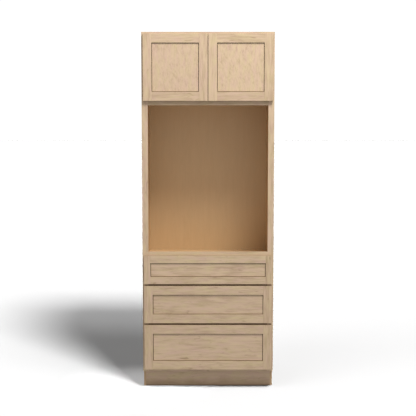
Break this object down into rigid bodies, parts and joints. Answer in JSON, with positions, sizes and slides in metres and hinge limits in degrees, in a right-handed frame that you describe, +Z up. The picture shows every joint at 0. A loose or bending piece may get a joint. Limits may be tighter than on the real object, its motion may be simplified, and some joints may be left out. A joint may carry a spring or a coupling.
{
  "type": "tall oven housing unit",
  "caption": "Tall face-frame oven housing cabinet: paired recessed-panel doors over an open oven cavity, with slide-out drawers and a recessed toe kick below.",
  "frame": {"origin": "on the floor, under the middle of the whole unit's box, fronts included", "axes": "+Z up; the front with its doors and drawers faces -Y; +X to the right seen from the front"},
  "size_m": [0.8382, 0.6308, 2.286],
  "materials": {
    "maple_solid": "unfinished natural maple, eased edges",
    "maple_veneer": "unfinished flat-cut maple veneer",
    "maple_ply": "clear-coated maple plywood interior",
    "birch_ply": "clear-coated birch plywood with dovetailed corners",
    "zinc_steel": "zinc-plated pressed steel",
    "grey_nylon": "moulded grey nylon",
    "clear_pad": "soft clear urethane"
  },
  "bodies": {
    "cabinet": {"left_side_panel": "maple_veneer", "right_side_panel": "maple_veneer", "top_panel": "maple_ply", "cupboard_floor": "maple_ply", "oven_deck": "maple_ply", "deck_cleats": "maple_ply", "bottom_panel": "maple_ply", "back_panel": "maple_ply", "wall_rails": "maple_ply", "toe_boards": "maple_veneer", "left_frame_stile": "maple_solid", "right_frame_stile": "maple_solid", "top_frame_rail": "maple_solid", "header_rail": "maple_solid", "oven_rail": "maple_solid", "drawer_rails": "maple_solid", "bottom_frame_rail": "maple_solid", "frame_screws": "zinc_steel", "bumper_pads": "clear_pad", "hinge_arms": "zinc_steel", "slide_cabinet_members": "zinc_steel", "slide_rear_brackets": "grey_nylon"},
    "left_door": {"left_door_stiles": "maple_solid", "left_door_rails": "maple_solid", "left_door_panel": "maple_veneer", "left_hinge_cups": "zinc_steel"},
    "left_hinge_link": {"left_hinge_links": "zinc_steel"},
    "right_door": {"right_door_stiles": "maple_solid", "right_door_rails": "maple_solid", "right_door_panel": "maple_veneer", "right_hinge_cups": "zinc_steel"},
    "right_hinge_link": {"right_hinge_links": "zinc_steel"},
    "drawer_1": {"drawer_1_front_stiles": "maple_solid", "drawer_1_front_rails": "maple_solid", "drawer_1_front_panel": "maple_veneer", "drawer_1_box_sides": "birch_ply", "drawer_1_box_ends": "birch_ply", "drawer_1_box_bottom": "birch_ply", "drawer_1_slide_members": "zinc_steel", "drawer_1_clips": "grey_nylon"},
    "drawer_1_slide": {"drawer_1_slide_middles": "zinc_steel"},
    "drawer_2": {"drawer_2_front_stiles": "maple_solid", "drawer_2_front_rails": "maple_solid", "drawer_2_front_panel": "maple_veneer", "drawer_2_box_sides": "birch_ply", "drawer_2_box_ends": "birch_ply", "drawer_2_box_bottom": "birch_ply", "drawer_2_slide_members": "zinc_steel", "drawer_2_clips": "grey_nylon"},
    "drawer_2_slide": {"drawer_2_slide_middles": "zinc_steel"},
    "drawer_3": {"drawer_3_front_stiles": "maple_solid", "drawer_3_front_rails": "maple_solid", "drawer_3_front_panel": "maple_veneer", "drawer_3_box_sides": "birch_ply", "drawer_3_box_ends": "birch_ply", "drawer_3_box_bottom": "birch_ply", "drawer_3_slide_members": "zinc_steel", "drawer_3_clips": "grey_nylon"},
    "drawer_3_slide": {"drawer_3_slide_middles": "zinc_steel"}
  },
  "joints": [
    {"name": "left_door_swing", "type": "hinge", "parent": "cabinet", "child": "left_door", "pos_m": [-0.4036, -0.30757, 2.0651], "axis": [0, 0, -1], "range_deg": [0, 105]},
    {"name": "left_hinge_link_turn", "type": "hinge", "parent": "cabinet", "child": "left_hinge_link", "pos_m": [-0.376, -0.30223, 2.0651], "axis": [0, 0, 1], "range_deg": [0, 34]},
    {"name": "right_door_swing", "type": "hinge", "parent": "cabinet", "child": "right_door", "pos_m": [0.4036, -0.30757, 2.0651], "axis": [0, 0, 1], "range_deg": [0, 105]},
    {"name": "right_hinge_link_turn", "type": "hinge", "parent": "cabinet", "child": "right_hinge_link", "pos_m": [0.376, -0.30223, 2.0651], "axis": [0, 0, -1], "range_deg": [0, 34]},
    {"name": "drawer_1_pull", "type": "slide", "parent": "cabinet", "child": "drawer_1", "axis": [0, -1, 0], "range_m": [0, 0.508]},
    {"name": "drawer_1_slide_travel", "type": "slide", "parent": "cabinet", "child": "drawer_1_slide", "axis": [0, -1, 0], "range_m": [0, 0.254]},
    {"name": "drawer_2_pull", "type": "slide", "parent": "cabinet", "child": "drawer_2", "axis": [0, -1, 0], "range_m": [0, 0.508]},
    {"name": "drawer_2_slide_travel", "type": "slide", "parent": "cabinet", "child": "drawer_2_slide", "axis": [0, -1, 0], "range_m": [0, 0.254]},
    {"name": "drawer_3_pull", "type": "slide", "parent": "cabinet", "child": "drawer_3", "axis": [0, -1, 0], "range_m": [0, 0.508]},
    {"name": "drawer_3_slide_travel", "type": "slide", "parent": "cabinet", "child": "drawer_3_slide", "axis": [0, -1, 0], "range_m": [0, 0.254]}
  ],
  "couplings": [
    {"joint": "left_hinge_link_turn", "follows": "left_door_swing", "ratio": 0.32},
    {"joint": "right_hinge_link_turn", "follows": "right_door_swing", "ratio": 0.32},
    {"joint": "drawer_1_slide_travel", "follows": "drawer_1_pull", "ratio": 0.5},
    {"joint": "drawer_2_slide_travel", "follows": "drawer_2_pull", "ratio": 0.5},
    {"joint": "drawer_3_slide_travel", "follows": "drawer_3_pull", "ratio": 0.5}
  ]
}
